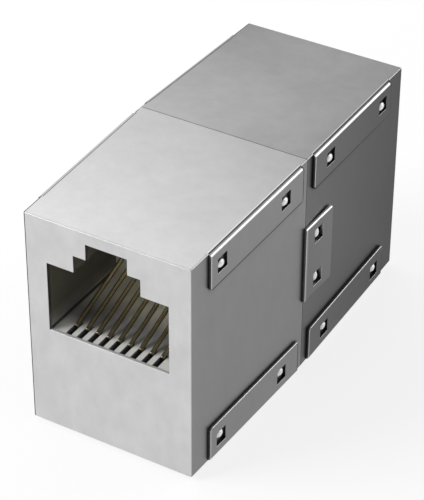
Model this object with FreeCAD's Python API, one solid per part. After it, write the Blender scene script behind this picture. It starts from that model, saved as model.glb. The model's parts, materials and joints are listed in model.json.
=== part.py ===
import FreeCAD, Part
import math
import os

os.makedirs("parts", exist_ok=True)

V = FreeCAD.Vector

# Shielded inline coupler with a modular port at each end.
# Millimetres. Z is up, Y runs along the length, the front port faces minus Y.
# The seam between the two halves is the plane Y = 0. Its lowest edge is at Z = 0.

# Outer body of one half. Its sides, top and bottom spread from the port to the seam.
port_end_width = 16.28
port_end_height = 21.82
half_length = 18.73
draft_rise = 0.33
sheet = 0.30
seam_gap = 0.05
outer_round = 0.12

# Stepped port opening, measured up from the lower edge of the end wall.
opening_floor = 10.40
main_width = 11.92
main_height = 6.94
key_width = 6.50
key_height = 1.69
latch_width = 3.98
latch_height = 1.58
lip_break = 0.07
cavity_margin = 0.06
cavity_depth = 10.50

# Side flaps, folded over the side walls from the top and bottom walls.
flap_start = 2.65
flap_to_seam = 1.05
flap_drop = 0.10
flap_width = 3.55
flap_fold_round = 0.34
flap_corner = 0.30

# Windows in the flaps, and the dimples of the side wall that they snap over.
# The first window is placed from the port's face, the last one from the seam.
first_window = 4.38
last_window = 4.02
window_length = 1.50
window_height = 1.46
window_below_fold = 0.94
dimple_length = 1.18
dimple_width = 0.84
dimple_rise = 0.30
dimple_offset = 0.19

# Lapping tab that reaches over the other half at mid height.
tab_root = 0.20
tab_reach = 4.65
tab_height = 7.90
tab_rise = 0.15
tab_standoff = 0.03
tab_edge_round = 0.22
tab_corner = 0.35
tab_window_start = 1.26
tab_window_length = 1.48
tab_window_height = 1.46
tab_window_spacing = 4.72

# Broken outer edges of the flaps, the tab and their windows.
edge_break = 0.05

# Moulded housing inside each half.
housing_fit = 0.03
housing_round = 0.30
comb_groove_width = 0.56
comb_groove_depth = 1.00
comb_length = 2.40
pocket_wall = 1.30
core_roof = 1.20
core_front = 1.80
core_web = 1.20

# Contact wires.
contact_count = 9
contact_pitch = 1.082
wire_diameter = 0.40
wire_tip_depth = 1.57
wire_tip_height = 10.37
wire_slope = 19.7
wire_bend_depth = 11.40
wire_level_depth = 13.30
wire_bend_radius = 0.60
wire_tip_break = 0.06
tail_stand = 0.55

# Heights of the two staggered tail rows, above the lower edge of the end wall.
front_rows = (15.80, 13.40)
rear_rows = (14.60, 12.20)

# Contact carrier behind the cavity.
carrier_fit = 0.03
carrier_plate = 3.60
carrier_rim = 1.10
carrier_boss_to_board = 1.53
carrier_boss_margin = 1.00

# Circuit board at the seam.
board_thickness = 1.20
board_fit = 0.06
board_corner = 0.60
board_hole = 0.56

mid_height = draft_rise + port_end_height / 2


def spread(y):
    return draft_rise * (y + half_length) / half_length


def half_width(y):
    return port_end_width / 2 + spread(y)


def bottom(y):
    return draft_rise - spread(y)


def top(y):
    return draft_rise + port_end_height + spread(y)


def depth(distance):
    # Y of a place that lies so far behind the port's outer face.
    return distance - half_length


def prism_between(near, far):
    # A solid between two flat loops with the same number of corners.
    faces = []
    for loop in (near, far):
        faces.append(Part.Face(Part.makePolygon(loop + [loop[0]])))
    for i in range(len(near)):
        j = (i + 1) % len(near)
        ring = [near[i], near[j], far[j], far[i], near[i]]
        faces.append(Part.Face(Part.makePolygon(ring)))
    skin = Part.Shell(faces)
    skin.sewShape()
    solid = Part.Solid(skin)
    if solid.Orientation == "Reversed":
        return prism_between(near[::-1], far[::-1])
    return solid


def body_block(y0, y1, inset):
    # The outline of the half between two places, drawn in on all four sides.
    loops = []
    for y in (y0, y1):
        w = half_width(y) - inset
        low = bottom(y) + inset
        high = top(y) - inset
        loops.append([V(-w, y, low), V(w, y, low), V(w, y, high), V(-w, y, high)])
    return prism_between(loops[0], loops[1])


def box(x0, x1, y0, y1, z0, z1):
    return Part.makeBox(x1 - x0, y1 - y0, z1 - z0, V(x0, y0, z0))


def port_prism(y0, y1, margin):
    # The stepped port outline, grown outwards by the margin.
    z0 = draft_rise + opening_floor - margin
    z1 = draft_rise + opening_floor + main_height + margin
    z2 = z1 + key_height
    z3 = z2 + latch_height
    a = main_width / 2 + margin
    b = key_width / 2 + margin
    c = latch_width / 2 + margin
    outline = [(-a, z0), (a, z0), (a, z1), (b, z1), (b, z2), (c, z2),
               (c, z3), (-c, z3), (-c, z2), (-b, z2), (-b, z1), (-a, z1)]
    near = [V(x, y0, z) for x, z in outline]
    face = Part.Face(Part.makePolygon(near + [near[0]]))
    return face.extrude(V(0, y1 - y0, 0))


def along(edge, index):
    # True for an edge that runs mainly along one axis.
    run = edge.Vertexes[-1].Point - edge.Vertexes[0].Point
    sizes = [abs(run.x), abs(run.y), abs(run.z)]
    return sizes[index] > 0.9 * run.Length


def spheroid(centre, axis, long_half, short_half):
    # A smooth bump, longest along the given axis.
    ellipse = Part.Ellipse(V(0, 0, 0), long_half, short_half)
    arc = Part.ArcOfEllipse(ellipse, 0, math.pi).toShape()
    chord = Part.makeLine(V(-long_half, 0, 0), V(long_half, 0, 0))
    face = Part.Face(Part.Wire([arc, chord]))
    solid = face.revolve(V(0, 0, 0), V(1, 0, 0), 360)
    solid.Placement = FreeCAD.Placement(centre, FreeCAD.Rotation(V(1, 0, 0), axis))
    return solid


def side_plate(side, y0, y1, low, high, inner, outer):
    # A plate on a side wall. Low and high are functions of Y.
    loops = []
    for y in (y0, y1):
        a = side * (half_width(y) + inner)
        b = side * (half_width(y) + outer)
        loops.append([V(a, y, low(y)), V(b, y, low(y)), V(b, y, high(y)), V(a, y, high(y))])
    return prism_between(loops[0], loops[1])


def window_places():
    # Y of the middle of each window of a flap.
    return (depth(first_window), -last_window)


def broken(plate, side, outer):
    # Breaks the sharp edges round the outer face of a plate and round its windows.
    edges = []
    for face in plate.Faces:
        p = face.CenterOfMass
        if abs(side * p.x - half_width(p.y) - outer) < 0.001:
            for e in face.Edges:
                if is_sharp(e, plate, face):
                    edges.append(e)
    return plate.makeFillet(edge_break, edges)


def is_sharp(edge, plate, face):
    # The neighbour face is flat, or the round of a corner that runs square through the plate.
    for other in plate.ancestorsOfType(edge, Part.Face):
        if not other.isSame(face):
            surface = other.Surface
            if isinstance(surface, Part.Cylinder):
                return abs(surface.Axis.x) > 0.9
            return isinstance(surface, Part.Plane)
    return False


def flap(side, level):
    # One folded flap with its two windows. Level is 1 at the top, -1 at the bottom.
    y0 = depth(flap_start)
    y1 = -flap_to_seam

    def fold(y):
        return top(y) - flap_drop if level > 0 else bottom(y) + flap_drop

    def free(y):
        return fold(y) - level * flap_width

    plate = side_plate(side, y0, y1, free, fold, -sheet / 2, sheet)
    corners = []
    for e in plate.Edges:
        if along(e, 0):
            p = e.Vertexes[0].Point
            if abs(p.z - free(p.y)) < 0.001:
                corners.append(e)
    plate = plate.makeFillet(flap_corner, corners)
    folds = []
    for e in plate.Edges:
        if along(e, 1):
            p = e.Vertexes[0].Point
            outside = abs(abs(p.x) - half_width(p.y) - sheet) < 0.001
            if outside and abs(p.z - fold(p.y)) < 0.001:
                folds.append(e)
    plate = plate.makeFillet(flap_fold_round, folds)
    for place in window_places():
        w0 = place - window_length / 2
        w1 = place + window_length / 2

        def far_edge(y):
            return fold(y) - level * (window_below_fold + window_height)

        def near_edge(y):
            return fold(y) - level * window_below_fold

        hole = side_plate(side, w0, w1, far_edge, near_edge, -sheet, 2 * sheet)
        plate = plate.cut(hole)
    return broken(plate, side, sheet)


def flap_dimples(side, level):
    bumps = []
    for y in window_places():
        fold = top(y) - flap_drop if level > 0 else bottom(y) + flap_drop
        z = fold - level * (window_below_fold + window_height / 2 + dimple_offset)
        x = side * (half_width(y) + dimple_rise - dimple_width / 2)
        bumps.append(spheroid(V(x, y, z), V(0, 1, 0), dimple_length / 2, dimple_width / 2))
    return bumps


def tab_levels():
    centre = mid_height + tab_rise
    return (centre - tab_window_spacing / 2, centre + tab_window_spacing / 2)


def tab(side):
    # Steps out at the seam and runs on straight in the plane of its own wall.
    low = mid_height + tab_rise - tab_height / 2
    high = low + tab_height
    plate = side_plate(side, -tab_root, tab_reach, lambda y: low, lambda y: high,
                       tab_standoff, tab_standoff + sheet)
    corners = []
    for e in plate.Edges:
        if along(e, 0) and e.Vertexes[0].Point.y > 0:
            corners.append(e)
    plate = plate.makeFillet(tab_corner, corners)
    ends = []
    for e in plate.Edges:
        if along(e, 1):
            p = e.Vertexes[0].Point
            outside = abs(p.x) > half_width(p.y) + tab_standoff + sheet / 2
            level = min(abs(p.z - low), abs(p.z - high)) < 0.001
            if outside and level:
                ends.append(e)
    plate = plate.makeFillet(tab_edge_round, ends)
    root = side_plate(side, -tab_root, -seam_gap / 2, lambda y: low, lambda y: high,
                      -sheet / 2, tab_standoff + sheet / 2)
    for z in tab_levels():
        hole = side_plate(side, tab_window_start, tab_window_start + tab_window_length,
                          lambda y: z - tab_window_height / 2,
                          lambda y: z + tab_window_height / 2, -sheet, 3 * sheet)
        plate = plate.cut(hole)
    return broken(plate, side, tab_standoff + sheet).fuse(root)


def tab_dimples(side):
    # These take the other half's tab, so they stand on the opposite side wall.
    bumps = []
    y = -(tab_window_start + tab_window_length / 2)
    for z in tab_levels():
        x = side * (half_width(y) + dimple_rise - dimple_width / 2)
        bumps.append(spheroid(V(x, y, z), V(0, 0, 1), dimple_length / 2, dimple_width / 2))
    return bumps


def make_shell():
    # End wall, top, bottom, two sides, four flaps and the tab, all from one sheet.
    port_y = depth(0)
    outer = body_block(port_y, -seam_gap / 2, 0)
    rounds = []
    for e in outer.Edges:
        if min(v.Point.y for v in e.Vertexes) < port_y + 0.001:
            rounds.append(e)
    outer = outer.makeFillet(outer_round, rounds)
    inside = body_block(port_y + sheet, 1, sheet)
    shell = outer.cut(inside)
    shell = shell.cut(port_prism(port_y - 1, port_y + 1, 0))
    lip = []
    for e in shell.Edges:
        pts = [v.Point for v in e.Vertexes]
        on_face = max(abs(p.y - port_y) for p in pts) < 0.001
        if on_face and max(abs(p.x) for p in pts) < main_width / 2 + 0.01:
            if min(p.z for p in pts) > draft_rise + opening_floor - 0.01:
                if max(p.z for p in pts) < top(port_y) - 1:
                    lip.append(e)
    shell = shell.makeFillet(lip_break, lip)
    extra = [tab(1)]
    for side in (-1, 1):
        for level in (-1, 1):
            extra.append(flap(side, level))
            extra += flap_dimples(side, level)
    extra += tab_dimples(-1)
    return shell.fuse(extra).cut(inside)


def contact_x(number):
    return (number - (contact_count + 1) / 2) * contact_pitch


def make_housing():
    y0 = depth(sheet + housing_fit)
    y1 = -board_thickness / 2 - housing_fit
    block = body_block(y0, y1, sheet + housing_fit)
    lengths = []
    for e in block.Edges:
        if along(e, 1):
            lengths.append(e)
    block = block.makeFillet(housing_round, lengths)
    shoulder = depth(cavity_depth)
    block = block.cut(port_prism(y0 - 1, shoulder + 0.5, cavity_margin))
    # rear pocket that takes the contact carrier
    pocket = body_block(shoulder, y1 + 1, sheet + housing_fit + pocket_wall)
    block = block.cut(pocket)
    # hollowed lower part, open to the pocket, with one web in the middle
    floor_z = draft_rise + opening_floor - cavity_margin
    roof = floor_z - comb_groove_depth - core_roof
    low = draft_rise + sheet + housing_fit + pocket_wall
    edge = port_end_width / 2 - sheet - housing_fit - pocket_wall
    for side in (-1, 1):
        x0, x1 = sorted((side * core_web / 2, side * edge))
        block = block.cut(box(x0, x1, depth(core_front), shoulder + 0.5, low, roof))
    # comb of grooves for the contact tips
    for n in range(1, contact_count + 1):
        x = contact_x(n)
        block = block.cut(box(x - comb_groove_width / 2, x + comb_groove_width / 2,
                              y0 - 1, depth(comb_length),
                              floor_z - comb_groove_depth, floor_z + 1))
    return block


def filleted_path(points, radius):
    # Straight runs joined by tangent arcs.
    edges = []
    start = points[0]
    for i in range(1, len(points) - 1):
        before = (points[i - 1] - points[i]).normalize()
        after = (points[i + 1] - points[i]).normalize()
        half = before.getAngle(after) / 2
        cut = radius / math.tan(half)
        a = points[i] + before * cut
        b = points[i] + after * cut
        middle = (before + after).normalize()
        centre = points[i] + middle * (radius / math.sin(half))
        edges.append(Part.makeLine(start, a))
        edges.append(Part.Arc(a, centre - middle * radius, b).toShape())
        start = b
    edges.append(Part.makeLine(start, points[-1]))
    return Part.Wire(edges)


def make_contact(number, rows):
    x = contact_x(number)
    slope = math.tan(math.radians(wire_slope))
    tip = V(x, depth(wire_tip_depth), draft_rise + wire_tip_height)
    rise = slope * (wire_bend_depth - wire_tip_depth)
    bend = V(x, depth(wire_bend_depth), draft_rise + wire_tip_height + rise)
    row = draft_rise + rows[0 if number % 2 else 1]
    level = V(x, depth(wire_level_depth), row)
    tail = V(x, board_thickness / 2 + tail_stand, row)
    path = filleted_path([tip, bend, level, tail], wire_bend_radius)
    ring = Part.Wire(Part.makeCircle(wire_diameter / 2, tip, bend - tip))
    wire = path.makePipeShell([ring], True, True)
    if wire.Volume < 0:
        wire.reverse()
    # the edges of both cut ends are broken
    ends = []
    for e in wire.Edges:
        closed = len(e.Vertexes) == 1
        if closed and e.CenterOfMass.distanceToPoint(tip) < 0.01:
            ends.append(e)
        if closed and e.CenterOfMass.distanceToPoint(tail) < 0.01:
            ends.append(e)
    return wire.makeFillet(wire_tip_break, ends)


def make_carrier(rows, contacts):
    # A cup that closes the cavity, with the contacts moulded into its floor.
    inset = sheet + housing_fit + pocket_wall + carrier_fit
    y0 = depth(cavity_depth)
    y1 = -board_thickness / 2 - housing_fit
    cup = body_block(y0, y1, inset)
    cup = cup.cut(body_block(y0 + carrier_plate, y1 + 1, inset + carrier_rim))
    reach = contact_x(contact_count) + carrier_boss_margin
    low = draft_rise + min(rows) - carrier_boss_margin
    high = draft_rise + max(rows) + carrier_boss_margin
    back = -board_thickness / 2 - carrier_boss_to_board
    boss = box(-reach, reach, y0 + carrier_plate - 0.5, back, low, high)
    cup = cup.fuse(boss)
    return cup.cut(contacts)


def make_board():
    w = half_width(0) - sheet - board_fit
    low = bottom(0) + sheet + board_fit
    high = top(0) - sheet - board_fit
    half = board_thickness / 2
    board = box(-w, w, -half, half, low, high)
    corners = [e for e in board.Edges if along(e, 1)]
    board = board.makeFillet(board_corner, corners)
    holes = []
    for turn, rows in ((1, front_rows), (-1, rear_rows)):
        for n in range(1, contact_count + 1):
            z = draft_rise + rows[0 if n % 2 else 1]
            centre = V(turn * contact_x(n), -half - 1, z)
            holes.append(Part.makeCylinder(board_hole / 2, board_thickness + 2, centre, V(0, 1, 0)))
    return board.cut(holes)


def turned(shape):
    # The rear half is the front half turned half round about the vertical.
    copy = shape.copy()
    copy.rotate(V(0, 0, 0), V(0, 0, 1), 180)
    return copy


def save(shape, name):
    shape = shape.removeSplitter()
    if len(shape.Solids) == 1:
        shape = shape.Solids[0]
    shape.exportStep("parts/" + name + ".step")
    box_now = shape.BoundBox
    print(name, len(shape.Solids), shape.isValid(), round(shape.Volume, 3),
          [round(v, 3) for v in (box_now.XMin, box_now.XMax, box_now.YMin,
                                 box_now.YMax, box_now.ZMin, box_now.ZMax)])


shell = make_shell()
save(shell, "front_shell")
save(turned(shell), "rear_shell")

housing = make_housing()
save(housing, "front_housing")
save(turned(housing), "rear_housing")

for place, rows in (("front", front_rows), ("rear", rear_rows)):
    contacts = [make_contact(n, rows) for n in range(1, contact_count + 1)]
    carrier = make_carrier(rows, contacts)
    if place == "rear":
        carrier = turned(carrier)
    save(carrier, place + "_contact_carrier")
    for n, contact in enumerate(contacts, 1):
        if place == "rear":
            contact = turned(contact)
        save(contact, place + "_contact_" + str(n))

save(make_board(), "circuit_board")
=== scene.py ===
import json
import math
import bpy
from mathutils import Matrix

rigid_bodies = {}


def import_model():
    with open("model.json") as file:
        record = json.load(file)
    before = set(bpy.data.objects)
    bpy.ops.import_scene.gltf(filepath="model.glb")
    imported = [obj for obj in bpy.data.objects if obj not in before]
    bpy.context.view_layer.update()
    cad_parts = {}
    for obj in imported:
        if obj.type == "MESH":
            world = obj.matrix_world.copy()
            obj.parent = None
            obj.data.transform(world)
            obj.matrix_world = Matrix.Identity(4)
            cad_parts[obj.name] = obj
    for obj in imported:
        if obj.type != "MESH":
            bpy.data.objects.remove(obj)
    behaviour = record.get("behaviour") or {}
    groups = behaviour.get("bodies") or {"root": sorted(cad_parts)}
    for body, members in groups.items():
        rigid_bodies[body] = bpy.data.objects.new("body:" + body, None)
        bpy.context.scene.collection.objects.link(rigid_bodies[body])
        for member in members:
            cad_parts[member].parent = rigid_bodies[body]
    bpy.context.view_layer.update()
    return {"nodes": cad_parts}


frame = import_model()

# %% [markdown]
# # An inline coupler, dressed for a product picture
#
# The solids come from the frame: two folded metal halves, the moulded port bodies, the contact wires and
# the board. Their shapes are finished, so this lesson is about surfaces and light. One way to dress a
# part like this is to paint every face by hand. Here each finish is a small recipe of nodes instead,
# because a recipe holds at every size and from every side.

# %% Tools and the nodes of the frame
from types import SimpleNamespace

import bmesh
import bpy
from mathutils import Matrix, Vector

MM = 0.001
nodes = frame["nodes"]
print("nodes in the frame:", len(nodes))

# %% [markdown]
# ## Writing shader maths as plain expressions
#
# Every value that changes over a surface is a line between two sockets. Adding a Math node by hand for
# each sum is slow to read. The small class below wraps a socket, so that `1 - mask` or `grain * 0.2`
# adds the node by itself. Most masks ask one of three questions: is this value past a start, short of an
# end, or near a place? Those get a word each, with a fade, so that no mask ends in a hard step.

# %% A wrapped socket
class Signal:
    """A value that changes over the surface."""

    def __init__(self, tree, socket):
        self.tree = tree
        self.socket = socket

    def combine(self, operation, first, second=None, clamp=False):
        maths = self.tree.nodes.new("ShaderNodeMath")
        maths.operation = operation
        maths.use_clamp = clamp
        for place, value in enumerate((first, second)):
            if isinstance(value, Signal):
                self.tree.links.new(value.socket, maths.inputs[place])
            elif value is not None:
                maths.inputs[place].default_value = value
        return Signal(self.tree, maths.outputs[0])

    def __add__(self, other):
        return self.combine("ADD", self, other)

    def __radd__(self, other):
        return self.combine("ADD", other, self)

    def __sub__(self, other):
        return self.combine("SUBTRACT", self, other)

    def __rsub__(self, other):
        return self.combine("SUBTRACT", other, self)

    def __mul__(self, other):
        return self.combine("MULTIPLY", self, other)

    def __rmul__(self, other):
        return self.combine("MULTIPLY", other, self)

    def __truediv__(self, other):
        return self.combine("DIVIDE", self, other)

    def __rtruediv__(self, other):
        return self.combine("DIVIDE", other, self)

    def size(self):
        return self.combine("ABSOLUTE", self)

    def larger(self, other):
        return self.combine("MAXIMUM", self, other)

    def within(self):
        """The value held between 0 and 1."""
        return self.combine("ADD", self, 0.0, clamp=True)

    def beyond(self, start, fade):
        """0 up to the start, 1 from one fade past it."""
        return ((self - start) / fade).within()

    def before(self, end, fade):
        """1 up to one fade short of the end, 0 from the end on."""
        return ((end - self) / fade).within()

    def near(self, place, reach, fade):
        """1 close to a place, 0 from its reach on."""
        return (self - place).size().before(reach, fade)


print("words of a Signal:", [word for word in vars(Signal) if not word.startswith("_")])

# %% [markdown]
# ## One method for every other node
#
# A finish is a material with one Principled shader. `add` makes a node of any type: its settings go in
# first, because a Math operation or a noise dimension changes which sockets exist, and then the values or
# links of its sockets. The place of a point and the way its surface faces are each taken apart once and
# kept, since nearly every mask asks for them.

# %% A finish and its nodes
class Finish:
    """A material built from nodes, read in Object coordinates."""

    def __init__(self, name):
        self.material = bpy.data.materials.new(name)
        self.material.use_nodes = True
        self.tree = self.material.node_tree
        self.shader = self.tree.nodes["Principled BSDF"]
        self.place = self.add("ShaderNodeTexCoord", out="Object")
        self.taken_apart = {}

    def add(self, kind, settings=None, sockets=None, out=0):
        node = self.tree.nodes.new(kind)
        for key, value in (settings or {}).items():
            setattr(node, key, value)
        for key, value in (sockets or {}).items():
            self.feed(node.inputs[key], value)
        return Signal(self.tree, node.outputs[out])

    def feed(self, socket, value):
        if isinstance(value, Signal):
            self.tree.links.new(value.socket, socket)
        else:
            socket.default_value = value

    def surface(self, **inputs):
        for key, value in inputs.items():
            self.feed(self.shader.inputs[key.replace("_", " ")], value)

    def letter_of(self, source, letter):
        if source not in self.taken_apart:
            whole = self.add("ShaderNodeTexCoord", out=source)
            parts = self.add("ShaderNodeSeparateXYZ", sockets={"Vector": whole})
            self.taken_apart[source] = parts.socket.node
        return Signal(self.tree, self.taken_apart[source].outputs[letter])

    def axis(self, letter):
        """Metres from the origin along X, Y or Z."""
        return self.letter_of("Object", letter)

    def facing(self, letter):
        """1 where the surface faces along X, Y or Z, and -1 where it faces the other way."""
        return self.letter_of("Normal", letter)


print("words of a Finish:", [word for word in vars(Finish) if not word.startswith("_")])

# %% [markdown]
# ## Noise, mixing and relief
#
# Three more words make the finishes below short. A noise can be read through a stretched Mapping, which
# is how metal gets its rolling lines. A blend goes from one colour to another by a mask, through a Mix
# node, because a Math node would turn a colour grey. A relief is a Bump, for a texture too fine to model.

# %% Words for the finishes
MIX_FACTOR, MIX_FIRST, MIX_SECOND, MIX_COLOUR = 0, 6, 7, 2


def noise(finish, scale, detail=2.0, roughness=0.5, stretch=None):
    place = finish.place
    if stretch:
        place = finish.add("ShaderNodeMapping", sockets={"Vector": place, "Scale": stretch})
    return finish.add("ShaderNodeTexNoise",
                      sockets={"Vector": place, "Scale": scale, "Detail": detail, "Roughness": roughness})


def blend(finish, mask, first, second):
    """The first colour where the mask is 0, the second where it is 1."""
    return finish.add("ShaderNodeMix", {"data_type": "RGBA"},
                      {MIX_FACTOR: mask, MIX_FIRST: first, MIX_SECOND: second}, out=MIX_COLOUR)


def relief(finish, height, strength, distance):
    finish.surface(Normal=finish.add("ShaderNodeBump",
                                     sockets={"Height": height, "Strength": strength, "Distance": distance}))


def grey(value, warmth=0.0):
    return (value + warmth, value, value - warmth, 1.0)


print("a warm grey:", grey(0.3, 0.004))

# %% [markdown]
# ## Where shade and highlights are painted
#
# Corners, window recesses and the gap behind a flap lie in shade, and outer edges catch bright highlights.
# Both are painted into the colour here, as painted shade and painted highlights. Painting that by hand
# takes long and fits only one shape. An Ambient Occlusion node measures how much of the sky a point can
# see, and turned inwards it measures how thin the material is there. One gives a mask for the corners and
# the other a mask for the edges. It misses the smallest rounded edges, so those are found by the way they
# face: a flat face looks along one axis, a rounded edge along two. The same question tells a top from a
# side.

# %% Masks of corners and edges
AO_SAMPLES = 8
ROUNDED_SLOPE, ROUNDED_LOSS = 2.2, 0.12
FACING_START, FACING_FADE = 0.65, 0.25


def hidden(finish, reach, start, slope, alone=True):
    """0 in the open, 1 deep in a corner."""
    sky = finish.add("ShaderNodeAmbientOcclusion", {"samples": AO_SAMPLES, "only_local": alone},
                     {"Distance": reach}, out="AO")
    return ((start - sky) * slope).within()


def outer_edges(finish, reach, start, slope):
    """0 on a flat face, 1 along an outer edge."""
    depth = finish.add("ShaderNodeAmbientOcclusion",
                       {"samples": AO_SAMPLES, "only_local": True, "inside": True},
                       {"Distance": reach}, out="AO")
    return ((start - depth) * slope).within()


def rounded(finish, letters):
    """0 on a flat face, 1 where an edge is rounded, so that its surface faces two ways at once."""
    first, second = (finish.facing(letter).size() for letter in letters)
    return (first * second * ROUNDED_SLOPE - ROUNDED_LOSS).within()


def squarely(direction):
    """1 where a face looks within 26 degrees of a direction, 0 from 49 degrees on."""
    return direction.beyond(FACING_START, FACING_FADE)


print("occlusion is measured with", AO_SAMPLES, "rays a point")

# %% [markdown]
# ## How far out from the side wall
#
# Flaps, domes and tab all stand on the side walls, which lean in by one degree from the seam to the ports.
# A mask for each could be painted on its own. It is simpler to ask how far a point lies outside the wall,
# because that one number tells wall, dome, flap and tab apart, and works on both sides and in both halves.

# %% The side wall as a measure
WALL_AT_SEAM = 8.47 * MM
WALL_SLOPE = 0.01762
DOME_RISE = 0.30 * MM


def from_wall(finish):
    """Metres outside the face of the side wall, less than nothing inside it."""
    return finish.axis("X").size() + finish.axis("Y").size() * WALL_SLOPE - WALL_AT_SEAM


def standing_proud(finish):
    """0 on the wall and 1 at the height of a dome, a flap or the tab."""
    return (from_wall(finish) / DOME_RISE).within()


def left_side(finish):
    """1 on the left of the middle, seen from the photographed port."""
    return finish.axis("X").before(0.0, MM)


print("the walls lean in by", round(math.degrees(math.atan(WALL_SLOPE)), 2), "degrees")

# %% [markdown]
# ## The rim beside the side wall
#
# Where the top and the port's face meet a side wall, the sheet is bent over a small radius that catches
# the light or loses it. An edge mask from occlusion would mark every bend of the sheet, also those that
# stay plain. So this band is found from its place and from the way it faces: just inside the wall, and
# not looking sideways. On the left it is painted dark, as painted shade.

# %% Mask of the rim
RIM_WIDTH = 0.15 * MM
RIM_FADE = 0.03 * MM
RIM_TURN = 0.9


def side_line(finish):
    """1 along the rim of the top, the bottom and the port's face, beside the side wall."""
    not_sideways = finish.facing("X").size().before(RIM_TURN, FACING_FADE)
    return from_wall(finish).beyond(-RIM_WIDTH, RIM_FADE) * not_sideways


print("the rim is", round(RIM_WIDTH / MM, 2), "mm wide")

# %% [markdown]
# ## The creases of the flaps
#
# Each flap is part of the top or bottom wall, folded down over the side. On the real part a fine dark
# crease shows where it leaves the flat, with a bright line beside it on the right, and on the left the
# fold shows as a pale strip. The crease could be modelled in the sheet, but it is only one pixel wide here
# and the solids are finished, so it is drawn as thin bands at measured places: the crease as painted shade,
# the bright line as a painted highlight, and the pale strip as a painted tone for how the left fold
# catches the light. The height is counted from the middle of the flaps and made level, because top and
# bottom lean as the sides do.

# %% Masks of crease, bright line and strip
FLAP_START, FLAP_END = 1.05 * MM, 16.08 * MM
FLAP_MIDDLE = 11.24 * MM
FREE_EDGE = 7.59 * MM
CREASE_FADE = 0.03 * MM
CREASE_WIDTH = 0.045 * MM
CREASE_INSET = 0.04 * MM
CREASE_LEFT = 0.16 * MM
CREASE_HEIGHT = 10.95 * MM
BRIGHT_INSET = 0.14 * MM
BRIGHT_WIDTH = 0.06 * MM


def beside_flap(finish):
    """1 where Y lies between the two ends of a flap."""
    along = finish.axis("Y").size()
    return along.beyond(FLAP_START, CREASE_FADE) * along.before(FLAP_END, CREASE_FADE)


def at_fold(finish):
    """1 as high or as low as the folds of the flaps."""
    level = (finish.axis("Z") - FLAP_MIDDLE).size() + finish.axis("Y").size() * WALL_SLOPE
    return level.beyond(CREASE_HEIGHT, CREASE_FADE)


def fold_crease(finish):
    """1 in the fine crease, drawn as painted shade, where a flap folds away from the top or bottom wall."""
    inwards = from_wall(finish) + left_side(finish) * CREASE_LEFT
    return inwards.near(-CREASE_INSET, CREASE_WIDTH, CREASE_FADE) * at_fold(finish) * beside_flap(finish)


def fold_light(finish):
    """1 in the painted highlight that runs on the top of the right side, beside each crease."""
    upper = (finish.axis("Z") - FLAP_MIDDLE).beyond(FREE_EDGE, CREASE_FADE)
    right = (finish.axis("X") / MM).within()
    line = from_wall(finish).near(-BRIGHT_INSET, BRIGHT_WIDTH, CREASE_FADE)
    return line * upper * right * beside_flap(finish)


def left_strip(finish):
    """1 on the folded strip of the left flaps, outside their crease."""
    outer = from_wall(finish).beyond(-(CREASE_LEFT + CREASE_INSET), CREASE_FADE)
    return outer * at_fold(finish) * left_side(finish) * beside_flap(finish)


print("a flap is", round((FLAP_END - FLAP_START) / MM, 2), "mm long")

# %% [markdown]
# ## The place of the tab
#
# Each half has one tab that laps over the other half. The wall under it gets painted shade, and the tab's
# own face a darker painted tone, also painted shade. Two boxes would mark them, one for each tab. But one
# half is the other turned half round, so both tabs lie where X and Y have the same sign, and the product of
# the two finds them with one set of numbers.

# %% Mask of the tab
TAB_LENGTH = 4.6 * MM
TAB_HALF_HEIGHT = 3.9 * MM
TAB_MIDDLE = 11.39 * MM


def tab_print(finish, margin=0.0):
    """1 where a tab lies on the wall of the other half."""
    same_side = (finish.axis("X") * finish.axis("Y") / (MM * MM)).within()
    along = finish.axis("Y").size().before(TAB_LENGTH + margin, RIM_FADE)
    height = finish.axis("Z").near(TAB_MIDDLE, TAB_HALF_HEIGHT + margin, RIM_FADE)
    return same_side * along * height


print("the tab covers", round(TAB_LENGTH / MM, 2), "by", round(2 * TAB_HALF_HEIGHT / MM, 2), "mm")

# %% [markdown]
# ## The free edges
#
# The lower edges of the upper flaps and of the tab, and the far ends of all of them, show as a thin dark
# line in the photograph. Those edges are turned away, and the line is the shade at them. A lamp moved to
# deepen it would change the whole wall, so the line is drawn a little onto the outer face, within a reach
# that each half chooses.

# %% Mask of the free edges
END_FADE = 0.2 * MM


def shaded_edges(finish, reach):
    """1 within the reach of the upper flaps' and the tab's lower edge, and of every end at +Y."""
    along, height = finish.axis("Y"), finish.axis("Z")
    level = height - FLAP_MIDDLE + along.size() * WALL_SLOPE
    free_edge = level.near(FREE_EDGE, reach, RIM_FADE)
    ends = along.near(-FLAP_START, reach, RIM_FADE).larger(along.near(FLAP_END, reach, RIM_FADE))
    ends = ends * level.size().beyond(FREE_EDGE, END_FADE)
    tab = along.near(TAB_LENGTH, reach, RIM_FADE)
    tab = tab.larger(height.near(TAB_MIDDLE - TAB_HALF_HEIGHT, reach, RIM_FADE)) * tab_print(finish, reach)
    return free_edge.larger(ends).larger(tab) * from_wall(finish).beyond(0.0, RIM_FADE)


print("free edges lie", round(FREE_EDGE / MM, 2), "mm from the middle of the flaps")

# %% [markdown]
# ## The domes in the windows
#
# Each flap snaps over two small domes pressed into the wall, and the tab over two more. Their tips get a
# painted highlight: near-white, less metallic and smoother. They could be marked one by one, but the part
# repeats itself, so the size of Y and the size of the height from the middle bring all of them to three
# places.

# %% Masks of the domes
FLAP_DOMES = ((14.35 * MM, 9.03 * MM), (4.02 * MM, 9.21 * MM))
TAB_DOME = (2.00 * MM, 2.36 * MM)
DOME_LONG, DOME_SHORT = 0.56 * MM, 0.40 * MM
OVAL_SLOPE = 4.0
DOME_SLOPE, DOME_LOSS = 3.0, 0.4


def oval(finish, place, middle, half_y, half_z):
    """1 inside an oval at a place, counted from the seam and from a middle height."""
    u = (finish.axis("Y").size() - place[0]) / half_y
    v = ((finish.axis("Z") - middle).size() - place[1]) / half_z
    return ((1.0 - u * u - v * v) * OVAL_SLOPE).within()


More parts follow.
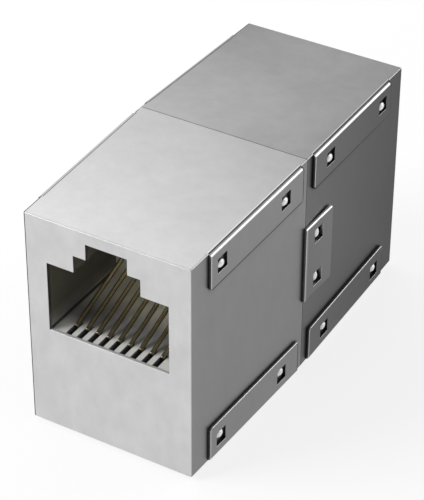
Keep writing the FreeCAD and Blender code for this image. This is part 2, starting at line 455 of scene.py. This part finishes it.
def around_domes(finish, grow=1.0):
    """1 in an oval round each dome, which is as large as the dome when it isn't grown."""
    ovals = oval(finish, TAB_DOME, TAB_MIDDLE, DOME_SHORT * grow, DOME_LONG * grow)
    for place in FLAP_DOMES:
        ovals = ovals + oval(finish, place, FLAP_MIDDLE, DOME_LONG * grow, DOME_SHORT * grow)
    return ovals.within()


# The dome tips get a painted highlight.
def highlit_domes(finish):
    """1 on the domes themselves, which stand out from the wall under them."""
    return around_domes(finish) * (standing_proud(finish) * DOME_SLOPE - DOME_LOSS).within()


print("places marked for all the domes:", len(FLAP_DOMES) + 1)

# %% [markdown]
# ## The cut lip of the port
#
# Along the lower side of each port the sheet was sheared, so its edge is a bare cut that scatters light
# where the plating mirrors it. As polished metal it would mirror the dark cavity and show as a black
# line, so it is painted a pale, less metallic grey, a painted highlight. A second material on those faces
# would do, but the solids stay as they came, so the cut gets a mask: at the port's face, at the height of
# the port's floor, looking up.

# %% Mask of the cut lip
LIP_START = 18.42 * MM
PORT_FLOOR = 10.73 * MM
LIP_REACH, LIP_FADE = 0.12 * MM, 0.04 * MM


def sheared_lip(finish):
    """1 on the cut face of the sheet along the lower side of each port."""
    outer = finish.axis("Y").size().beyond(LIP_START, LIP_FADE)
    low = finish.axis("Z").near(PORT_FLOOR, LIP_REACH, LIP_FADE)
    return outer * low * squarely(finish.facing("Z"))


print("the lip lies", round(PORT_FLOOR / MM, 2), "mm up")

# %% [markdown]
# ## The places on one half, together
#
# The finish of a half asks for the same places again and again. Each could be worked out where it is
# used, but that would add many nodes that say the same. So they are worked out once and kept under plain
# names: `out` runs from 0 at the seam to 1 at the port, `sideways` is 1 on a side wall, `proud` is what
# stands out from the wall, and the others are the masks above.

# %% Places on one half
HALF_LENGTH = 18.73 * MM


def places_on(finish):
    """The masks that say where on a half a point lies."""
    return SimpleNamespace(
        out=finish.axis("Y").size() / HALF_LENGTH,
        sideways=finish.facing("X").size(),
        proud=standing_proud(finish),
        left=left_side(finish),
        strip=left_strip(finish),
        crease=fold_crease(finish),
        light=fold_light(finish),
        tab=tab_print(finish),
        lip=sheared_lip(finish),
        dome=highlit_domes(finish))


print("a half is", round(HALF_LENGTH / MM, 2), "mm long")

# %% [markdown]
# ## Painted shade and highlights on one half
#
# The windows, the wall beside a flap and the strip under the tab are in deep shade, and a wider, softer
# shade lies along every ledge; both are painted shade. Folds and outer edges get a painted highlight. One
# occlusion mask can't give all of these, because their reach differs, so each has its own. The highlight
# mask is held back where a dark line or a dome lies, or the two would fight.

# %% Masks of painted shade and highlights
RECESS_REACH, LEDGE_REACH, EDGE_HIGHLIGHT_REACH = 0.8 * MM, 2.0 * MM, 0.14 * MM
UNDER_TAB = 0.25
FOLD_TURN = 0.97
SHADE_MARGIN = 0.06 * MM
CLEAR_OF_DOMES = 3.0


def shade_and_highlights(finish, at, edge_line):
    """Adds the masks of painted deep shade, painted soft shade, dark lines and painted edge highlights."""
    under_tab = at.tab * at.proud.before(UNDER_TAB, UNDER_TAB)
    # Painted shade in the windows, beside the flaps, under the tab and along every ledge.
    at.recess = hidden(finish, RECESS_REACH, start=0.88, slope=3.2).larger(under_tab)
    at.ledge = hidden(finish, LEDGE_REACH, start=0.98, slope=2.0)
    at.line = shaded_edges(finish, edge_line)

    shaded = shaded_edges(finish, edge_line + SHADE_MARGIN)
    clear = (1.0 - shaded) * (1.0 - at.crease) * (1.0 - around_domes(finish, CLEAR_OF_DOMES))
    fold = at.sideways.before(FOLD_TURN, FACING_FADE) * at.proud
    # Painted highlight on folds and outer edges.
    bright_edge = outer_edges(finish, EDGE_HIGHLIGHT_REACH, start=0.86, slope=3.0) * at.proud
    at.edge = bright_edge.larger(fold) * (1.0 - at.recess) * clear


print("shade is looked for within", round(RECESS_REACH / MM, 2), "and", round(LEDGE_REACH / MM, 2), "mm")

# %% [markdown]
# ## Bent edges and the seam
#
# The long bends of the body are painted a shade darker than the faces beside them, as painted shade, and
# on the left they are painted as a dark line, also painted shade. Where the halves meet, a thin dark line
# runs round the part. The solids leave a gap there, but it is half a pixel wide in this picture, so the
# sheet is shaded a little on both sides of it. The bends stop short of the seam and leave out the strips of
# the left flaps, which are pale in the photograph.

# %% Masks of bends and seam
BEND_START, BEND_FADE = 0.015, 0.025
SEAM_LINE, SEAM_FADE = 0.07 * MM, 0.06 * MM
AT_SEAM = 0.5


def bends_and_seam(finish, at):
    """Adds the masks of the long bends and of the seam."""
    open_edge = (1.0 - at.proud) * at.out.beyond(BEND_START, BEND_FADE)
    # Painted shade: the bends are darkened, and on the left they become a dark line.
    corner = side_line(finish).larger(rounded(finish, "XY")).larger(rounded(finish, "XZ"))
    at.corner = corner * open_edge * (1.0 - at.strip) * at.left
    at.bevel = (rounded(finish, "YZ") * open_edge).larger(at.corner)
    at.seam = finish.axis("Y").size().before(SEAM_LINE, SEAM_FADE) * at.proud.before(AT_SEAM, AT_SEAM)


print("the shade at the seam is", round(2 * SEAM_LINE / MM, 2), "mm wide")

# %% [markdown]
# ## The plated sheet and its painted shade
#
# The halves are folded from thin sheet with a satin plating, which is never one even grey: it has soft
# clouds a few millimetres wide, small blotches, and a fine grain from rolling. One noise with more detail
# would be simpler, but then all three would run the same way. So each gets its own noise, and the mottle
# also changes the roughness, so that it shows in the reflections as it does on metal. The photograph
# shows the tone falling off along each wall, so the tone follows the length as well, as painted shade.
# The side walls get a darker tone than the top and the port's face, and the tone also falls towards the
# far left corner and on the tab: all of that is painted shade too.

# %% Tone of the sheet
CLOUD_SCALE = 210
BLOTCH_STRETCH = (700, 800, 420)
GRAIN_STRETCH = (9000, 1500, 9000)
CLOUD_SHARE, BLOTCH_SHARE, GRAIN_SHARE, MOTTLE_LOSS = 1.5, 1.3, 0.3, 1.05
TOP_MOTTLE, SIDE_MOTTLE = 0.08, 0.07
SIDE_FALL_SHARE = 0.4
TAB_SHADE = 0.3
BLACK = grey(0.0)


def rolled_sheet(finish):
    """The mottle of the plating, and the height of its fine relief."""
    clouds = noise(finish, CLOUD_SCALE, detail=4.0, roughness=0.6)
    blotches = noise(finish, 1.0, detail=3.0, roughness=0.6, stretch=BLOTCH_STRETCH)
    grain = noise(finish, 1.0, stretch=GRAIN_STRETCH)
    mottle = clouds * CLOUD_SHARE + blotches * BLOTCH_SHARE + grain * GRAIN_SHARE - MOTTLE_LOSS
    return mottle.within(), (blotches + grain) * 0.5


def mottled(finish, mottle, tone, share):
    return blend(finish, mottle, grey(tone * (1.0 - share)), grey(tone * (1.0 + share)))


def sheet_tone(finish, look, at, mottle):
    """The bare plating: top and port face in one tone, the side walls in a darker one that is painted shade;
    the falls along the length, to the far left and on the tab are painted shade too.
    """
    inner = 1.0 - at.out
    left_far = (finish.axis("X") / -WALL_AT_SEAM).within() * at.out
    flat_fall = inner.within() * look.fall + left_far * look.corner_fall
    wall_fall = at.out * look.side_fall + inner * (look.fall * SIDE_FALL_SHARE)
    # Painted shade: the tab's own face is darker.
    wall_fall = wall_fall + at.tab * at.proud * TAB_SHADE
    flat = blend(finish, flat_fall, mottled(finish, mottle, look.tone, TOP_MOTTLE), BLACK)
    wall = blend(finish, wall_fall, mottled(finish, mottle, look.side_tone, SIDE_MOTTLE), BLACK)
    return blend(finish, squarely(at.sideways), flat, wall)


print("clouds in the plating are about", round(1 / CLOUD_SCALE / MM, 1), "mm wide")

# %% [markdown]
# ## Painted lines, shade and highlights on the sheet
#
# On top of the tone come the thin dark lines, then the shade in the recesses, both painted shade, then the
# painted highlights on folds and outer edges.
# One long sum of masks would give muddy overlaps, so each layer covers the one before. The dome tips and
# the cut lip come last, because nothing lies on them.

# %% Layers of the sheet
# Painted light: LINE_TONE and the recess tone are painted shade; BRIGHT_LINE, FOLD_RIGHT, DOME_TONE and
# LIP_TONE are painted highlights; FOLD_LEFT holds that highlight down on the left, as painted shade.
LINE_TONE, BRIGHT_LINE = grey(0.012), grey(0.95)
FOLD_RIGHT, FOLD_LEFT = grey(0.72), grey(0.2)
DOME_TONE, LIP_TONE = grey(0.97), grey(0.5)
RECESS_TONE_SHARE = 0.06
COVER = SimpleNamespace(ledge=0.6, seam=0.32, bevel=0.2, line=0.9, recess=0.96, edge=0.85, light=0.85)


def sheet_with_painted_light(finish, look, at, plating):
    soft = at.ledge * COVER.ledge + at.seam * COVER.seam + at.bevel * COVER.bevel + at.corner
    lines = soft.larger(at.crease.larger(at.line * COVER.line)).within()
    stripped = blend(finish, at.strip, plating, grey(look.tone * look.strip_share))
    lined = blend(finish, lines, stripped, LINE_TONE)
    # Painted shade in the recesses.
    recess_shaded = blend(finish, at.recess * COVER.recess, lined, grey(look.tone * RECESS_TONE_SHARE))
    fold_highlight_tone = blend(finish, at.left, FOLD_RIGHT, FOLD_LEFT)
    # Painted highlight on folds and edges, darker on the left.
    highlit = blend(finish, at.edge * (1.0 - at.strip) * COVER.edge, recess_shaded, fold_highlight_tone)
    # Painted highlight beside the creases on the right.
    highlit = blend(finish, at.light * COVER.light, highlit, BRIGHT_LINE)
    # Painted highlights on the dome tips and the pale cut lip.
    return blend(finish, at.dome.larger(at.lip), highlit, blend(finish, at.lip, DOME_TONE, LIP_TONE))


print("the dark lines have a tone of", LINE_TONE[0])

# %% [markdown]
# ## One recipe for both halves
#
# The halves are separate pressings that catch the light differently, and that difference is painted into
# their tones as painted shade: the photographed half is lighter, and the other is darker towards its far
# end. Copying the recipe would mean keeping two of everything, so the recipe takes a short list of tones
# and shares instead, one for each half. The dome tips and the cut lip are made less metallic, so that
# their painted highlights show, because as full metal they would show only the dark places that they mirror.

# %% Plated halves
SHEET_ROUGHNESS = 0.335
ROUGHER = SimpleNamespace(mottle=0.05, recess=0.2, bevel=0.2)
SMOOTHER = SimpleNamespace(edge=0.1, dome=0.12)
LESS_METAL = SimpleNamespace(dome=0.8, lip=0.9)
# Painted shade: side_tone, fall, side_fall and corner_fall darken walls and ends, and REAR_LOOK's lower
# tones darken the rear half.
FRONT_LOOK = SimpleNamespace(tone=0.60, side_tone=0.255, fall=0.2, side_fall=0.0, corner_fall=0.0,
                             edge_line=0.18 * MM, strip_share=0.8)
REAR_LOOK = SimpleNamespace(tone=0.46, side_tone=0.12, fall=0.06, side_fall=0.8, corner_fall=0.3,
                            edge_line=0.26 * MM, strip_share=0.74)


def plated_sheet(name, look):
    finish = Finish(name)
    at = places_on(finish)
    shade_and_highlights(finish, at, look.edge_line)
    bends_and_seam(finish, at)
    mottle, height = rolled_sheet(finish)
    plating = sheet_tone(finish, look, at, mottle)
    dull = mottle * ROUGHER.mottle + at.recess * ROUGHER.recess + at.bevel * ROUGHER.bevel
    shiny = at.edge * SMOOTHER.edge + at.dome * SMOOTHER.dome
    finish.surface(Base_Color=sheet_with_painted_light(finish, look, at, plating),
                   Metallic=1.0 - at.dome * LESS_METAL.dome - at.lip * LESS_METAL.lip,
                   Roughness=dull - shiny + SHEET_ROUGHNESS)
    relief(finish, height, strength=0.05, distance=0.02 * MM)
    return finish.material


front_sheet = plated_sheet("front_plating", FRONT_LOOK)
rear_sheet = plated_sheet("rear_plating", REAR_LOOK)
print("nodes in the front plating:", len(front_sheet.node_tree.nodes))

# %% [markdown]
# ## How the port's tone changes with its depth
#
# In the photograph the ribs at the mouth are pale, the side walls are dusky with a little light at their
# foot, and the depth is pale again. Lamps could do this too, but then every other face would change with
# them. So the tone follows the depth in the port and the height above its floor, as painted light on the
# ribs and in the depth and painted shade on the side walls.

# %% Tone of the port
DEEP_START, DEEP_FADE = 4.1 * MM, 3.2 * MM
MOUTH_END, MOUTH_FADE = 3.0 * MM, 1.6 * MM
WALL_START, WALL_FADE, DUSK_FADE = 10.85 * MM, 0.4 * MM, 1.6 * MM
RIB_COVER = 0.9
LOW_DUSK, HIGH_DUSK = 0.4, 0.6
PALE_RIB, PALE_DEPTH = (0.82, 0.82, 0.79, 1), (1.0, 0.97, 0.86, 1)
WALL_FOOT, WALL_DUSK = (0.24, 0.235, 0.21, 1), (0.09, 0.085, 0.065, 1)


def port_tone(finish, plain_grey):
    """The grey of the moulding with painted light and shade, changed with the depth in the port and the
    height above its floor.
    """
    depth = HALF_LENGTH - finish.axis("Y").size()
    height = finish.axis("Z")
    deep = depth.beyond(DEEP_START, DEEP_FADE)
    above = height.beyond(WALL_START, WALL_FADE)
    mouth = depth.before(MOUTH_END, MOUTH_FADE) * (1.0 - above)
    ribs = blend(finish, mouth * RIB_COVER, plain_grey, PALE_RIB)
    paler = blend(finish, deep, ribs, PALE_DEPTH)
    dusk = blend(finish, height.beyond(WALL_START, DUSK_FADE), WALL_FOOT, WALL_DUSK)
    cheek = squarely(finish.facing("X").size()) * (above * HIGH_DUSK + LOW_DUSK)
    return blend(finish, (above * (1.0 - deep)).larger(cheek), paler, dusk)


print("the port turns pale from", round(DEEP_START / MM, 2), "mm inside its face")

# %% [markdown]
# ## The moulded port body
#
# Inside each port is a grey moulding with the texture that a spark-eroded mould leaves: very fine and
# even. The texture could be cut into the mesh, but it is far smaller than a pixel, so a bump from a small
# noise gives the sparkle on the ribs. A broad noise gives a slight flow of tone, and the corner mask
# paints shade into the grooves and a dark line along the foot of the side walls.

# %% Moulded grey
FLOW_SCALE, TEXTURE_SCALE = 220, 7000
FOOT_LINE, FOOT_LINE_FADE = 5.88 * MM, 0.03 * MM
FOOT_REACH, FOOT_FADE = 0.2 * MM, 0.05 * MM
GROOVE_REACH = 1.1 * MM
GROOVE_SHADE_COVER, GROOVE_SHADE_TONE = 0.9, grey(0.03)
MOULDED_WARMTH = 0.004
FLOW_SHARE, TEXTURE_SHARE = 0.6, 0.4
MOULDED_DARK, MOULDED_LIGHT = 0.86, 1.12
FLOW_DULLING, TEXTURE_DULLING = 0.08, 0.12


def moulded(name, tone, roughness):
    finish = Finish(name)
    flow = noise(finish, FLOW_SCALE)
    texture = noise(finish, TEXTURE_SCALE)
    dark, light = (grey(tone * share, MOULDED_WARMTH) for share in (MOULDED_DARK, MOULDED_LIGHT))
    plain_grey = blend(finish, (flow * FLOW_SHARE + texture * TEXTURE_SHARE).within(), dark, light)
    # Painted shade in the grooves, and a painted dark line along the foot of the side walls.
    groove = hidden(finish, GROOVE_REACH, start=0.74, slope=2.4)
    foot = finish.axis("X").size().beyond(FOOT_LINE, FOOT_LINE_FADE)
    foot = foot * finish.axis("Z").near(PORT_FLOOR, FOOT_REACH, FOOT_FADE)
    colour = blend(finish, groove.larger(foot) * GROOVE_SHADE_COVER, port_tone(finish, plain_grey), GROOVE_SHADE_TONE)
    finish.surface(Base_Color=colour, Roughness=texture * TEXTURE_DULLING + flow * FLOW_DULLING + roughness)
    relief(finish, texture, strength=0.12, distance=0.02 * MM)
    return finish.material


body_grey = moulded("moulded_port_body", 0.30, 0.35)
carrier_grey = moulded("moulded_carrier", 0.34, 0.4)
print("nodes in the port body:", len(body_grey.node_tree.nodes))

# %% [markdown]
# ## The contact wires
#
# The wires are drawn bronze, with painted shade as a dark outline along both sides, and free of that dark
# outline where the ends were cut. Painting the ends is one way, but the distance along the part already
# tells where they are, so that mask is the size of Y, which works for both ports at once. The painted dark
# sides come from the way the round wire faces, along a direction fixed across the wire. It leans by 27
# degrees, because that is where the outlines lie on the wires in the photograph. An occlusion mask paints
# shade where a wire lies close to other parts.

# %% Bronze wire
WIRE_END = 17.16 * MM
TIP_FADE = 0.5 * MM
ACROSS_X, ACROSS_Z = 0.88, 0.44
OUTLINE_START = 0.5
OUTLINE_COVER, SHADE_COVER = 0.85, 0.5
WIRE_SHADE_REACH = 0.7 * MM
DRAWN_DULLING, WIRE_ROUGHNESS = 0.12, 0.24
DRAWN_STRETCH = (6000, 900, 6000)
BRONZE_DARK, BRONZE_LIGHT = (0.62, 0.52, 0.32, 1), (0.86, 0.75, 0.49, 1)
BRONZE_TIP, BRONZE_SHADE = (0.44, 0.40, 0.29, 1), (0.03, 0.026, 0.018, 1)


def bronze_wire(name):
    finish = Finish(name)
    drawn = noise(finish, 1.0, stretch=DRAWN_STRETCH)
    tip = finish.axis("Y").size().beyond(WIRE_END - TIP_FADE, TIP_FADE)
    # Painted shade: a dark outline along both sides, and occlusion shade near other parts.
    side = (finish.facing("X") * ACROSS_X - finish.facing("Z") * ACROSS_Z).size()
    outline = side.beyond(OUTLINE_START, FACING_FADE) * (1.0 - tip)
    shade = hidden(finish, WIRE_SHADE_REACH, start=0.8, slope=1.6, alone=False)
    metal = blend(finish, tip, blend(finish, drawn, BRONZE_DARK, BRONZE_LIGHT), BRONZE_TIP)
    colour = blend(finish, (shade * SHADE_COVER).larger(outline * OUTLINE_COVER), metal, BRONZE_SHADE)
    finish.surface(Base_Color=colour, Metallic=1.0, Roughness=drawn * DRAWN_DULLING + WIRE_ROUGHNESS)
    relief(finish, drawn, strength=0.1, distance=0.01 * MM)
    return finish.material


bronze = bronze_wire("drawn_bronze")
print("the wires end", round((HALF_LENGTH - WIRE_END) / MM, 2), "mm behind the port's face")

# %% [markdown]
# ## The board
#
# The board is shut in between the halves. It gets the green mask of any board, with the faint weave of the
# glass cloth under it. Two crossed waves would be closer to a weave, but a pattern of small cells stands
# well enough for the knots of the cloth on a face that is seen only when the part is taken apart.

# %% Masked laminate
CLOTH_SCALE = 1800.0
MASK_DARK, MASK_LIGHT = (0.02, 0.12, 0.05, 1), (0.05, 0.2, 0.09, 1)
CLOTH_DULLING, BOARD_ROUGHNESS = 0.1, 0.3


def laminate(name):
    finish = Finish(name)
    weave = finish.add("ShaderNodeTexVoronoi", sockets={"Vector": finish.place, "Scale": CLOTH_SCALE})
    finish.surface(Base_Color=blend(finish, weave, MASK_DARK, MASK_LIGHT),
                   Roughness=weave * CLOTH_DULLING + BOARD_ROUGHNESS)
    return finish.material


board_green = laminate("masked_laminate")
print("the cloth has a knot every", round(1 / CLOTH_SCALE / MM, 2), "mm")

# %% [markdown]
# ## Giving each node its finish
#
# A node keeps its mesh and its place. Only the material in its slot changes. Naming all 25 nodes would
# be long, so the list names seven of them, and whatever isn't in it is a contact wire.

# %% Dress the nodes
FINISH_OF = {
    "front_shell": front_sheet,
    "rear_shell": rear_sheet,
    "front_housing": body_grey,
    "rear_housing": body_grey,
    "front_contact_carrier": carrier_grey,
    "rear_contact_carrier": carrier_grey,
    "circuit_board": board_green,
}
for name, node in nodes.items():
    node.data.materials.clear()
    node.data.materials.append(FINISH_OF.get(name, bronze))
print("dressed", len(nodes), "nodes with", len(set(FINISH_OF.values())) + 1, "finishes")

# %% [markdown]
# ## The floor
#
# The part lies on a plain sheet of white paper. A bent backdrop would hide the horizon, but the camera
# looks down steeply enough to see nothing but floor, so one flat sheet is all that is needed. Lit by the
# lamps alone the paper would be grey, and more light would spoil the metal. So a share of it is plain
# white to the camera and to reflections, by a Light Path node, and the rest stays paper, which keeps the
# shadow of the part.

# %% White paper
FLOOR_HALF = 1.5
WHITE_SEEN = 0.78
WHITE_MIRRORED = 0.6
FIBRE_SCALE = 60
sheet = bmesh.new()
bmesh.ops.create_grid(sheet, x_segments=1, y_segments=1, size=FLOOR_HALF)
floor_mesh = bpy.data.meshes.new("floor")
sheet.to_mesh(floor_mesh)
sheet.free()
floor = bpy.data.objects.new("floor", floor_mesh)
bpy.context.scene.collection.objects.link(floor)

paper = Finish("pale_paper")
fibre = noise(paper, FIBRE_SCALE, detail=3.0)
paper.surface(Base_Color=blend(paper, fibre, grey(0.97), grey(0.99)), Roughness=0.9, Specular_IOR_Level=0.1)
seen = paper.add("ShaderNodeLightPath", out="Is Camera Ray") * WHITE_SEEN
glossy = paper.add("ShaderNodeLightPath", out="Is Glossy Ray")
through = paper.add("ShaderNodeLightPath", out="Is Transmission Ray")
veil = paper.add("ShaderNodeMixShader", sockets={
    0: seen.larger(glossy.larger(through) * WHITE_MIRRORED),
    1: Signal(paper.tree, paper.shader.outputs[0]),
    2: paper.add("ShaderNodeEmission", sockets={"Color": grey(1.0), "Strength": 1.0})})
paper.feed(paper.tree.nodes["Material Output"].inputs["Surface"], veil)
floor_mesh.materials.append(paper.material)
print("corners of the floor:", [vertex.co.to_tuple(3) for vertex in floor_mesh.vertices])

# %% [markdown]
# ## Light
#
# Metal shows what is around it, so the soft boxes stand where the faces look. Seen from the camera, the
# top mirrors what is behind it on the left, the folded edges of the right side mirror what is behind on
# the right, and the side and the port's face mirror the floor. The key, in front on the left, lights the
# inside of the port. One large lamp overhead would be simpler, but the folded edges would then be as
# plain as the top. The world gives an even grey from everywhere else.

# %% World and soft boxes
WORLD_GREY = (0.45, 0.45, 0.45, 1)
AIM_HEIGHT = 11 * MM
SOFT_BOXES = (
    # name, direction seen from the part, distance, width, height and radiance
    ("key", (-0.70, -0.62, 0.46), 0.35, 0.22, 0.22, 7.0),
    ("over", (-0.81, 0.45, 0.66), 0.40, 0.41, 0.34, 1.02),
    ("edge", (0.54, 0.78, 0.34), 0.60, 0.44, 0.40, 2.3),
)
world = bpy.data.worlds.new("studio")
bpy.context.scene.world = world
world.use_nodes = True
world.node_tree.nodes["Background"].inputs["Color"].default_value = WORLD_GREY
world.node_tree.nodes["Background"].inputs["Strength"].default_value = 1.0


def soft_box(name, direction, distance, width, height, radiance):
    light = bpy.data.lights.new(name, "AREA")
    light.shape = "RECTANGLE"
    light.size = width
    light.size_y = height
    light.energy = radiance * math.pi * width * height
    lamp = bpy.data.objects.new(name, light)
    away = Vector(direction).normalized()
    lamp.location = away * distance + Vector((0, 0, AIM_HEIGHT))
    lamp.rotation_euler = away.to_track_quat("Z", "Y").to_euler()
    bpy.context.scene.collection.objects.link(lamp)
    return lamp


for lamp in [soft_box(*settings) for settings in SOFT_BOXES]:
    print("soft box", lamp.name, "gives", round(lamp.data.energy, 3), "W")

# %% [markdown]
# ## Camera
#
# The camera stands where the photographer's did, worked out from the photograph's own edges: 31 degrees
# to the right of the port, 35 degrees up, with a long lens. Aiming it at the part by a constraint would
# be easier, but would lose the slight roll and the exact framing, so its place and turn are written down.

# %% Camera
AZIMUTH = 30.589
ELEVATION = 35.09
ROLL = 0.29
CAMERA_PLACE = Vector((79.855, -136.794, 121.21)) * MM
SENSOR_HEIGHT = 36.0
LENS = 153.65
camera_data = bpy.data.cameras.new("camera")
camera_data.sensor_fit = "VERTICAL"
camera_data.sensor_height = SENSOR_HEIGHT
camera_data.lens = LENS
camera = bpy.data.objects.new("camera", camera_data)
turn = (Matrix.Rotation(math.radians(AZIMUTH), 4, "Z")
        @ Matrix.Rotation(math.radians(90 - ELEVATION), 4, "X")
        @ Matrix.Rotation(math.radians(ROLL), 4, "Z"))
camera.matrix_world = Matrix.Translation(CAMERA_PLACE) @ turn
bpy.context.scene.collection.objects.link(camera)
bpy.context.scene.camera = camera
bpy.context.scene.view_settings.view_transform = "Standard"
print("the camera is", round(CAMERA_PLACE.length / MM), "mm from the middle of the seam's foot")

# %% [markdown]
